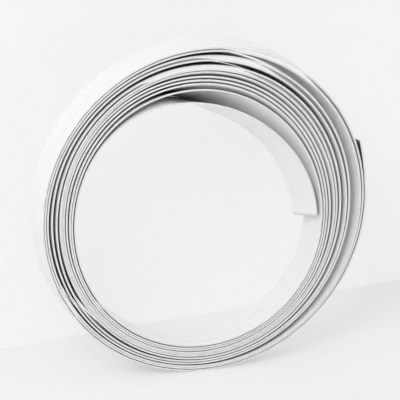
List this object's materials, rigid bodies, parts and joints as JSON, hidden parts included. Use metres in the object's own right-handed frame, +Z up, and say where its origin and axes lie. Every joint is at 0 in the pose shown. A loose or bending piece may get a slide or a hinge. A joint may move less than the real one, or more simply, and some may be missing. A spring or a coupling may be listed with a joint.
{
  "type": "roll of channel letter trim cap",
  "caption": "Loose coreless roll of flat white plastic trim strip, wound on its face, with an open middle and two free ends.",
  "frame": {"origin": "on the floor under the standing roll, at the middle of its width and of the strip's width", "axes": "+Y along the roll's axis from its front to its back, +X to the right towards the strip's free ends, +Z up"},
  "size_m": [0.1972, 0.0254, 0.1957],
  "materials": {
    "white_strip": "glossy white plastic with soft, slightly duller cut edges"
  },
  "bodies": {
    "root": {"trim_cap_strip": "white_strip"}
  },
  "joints": []
}
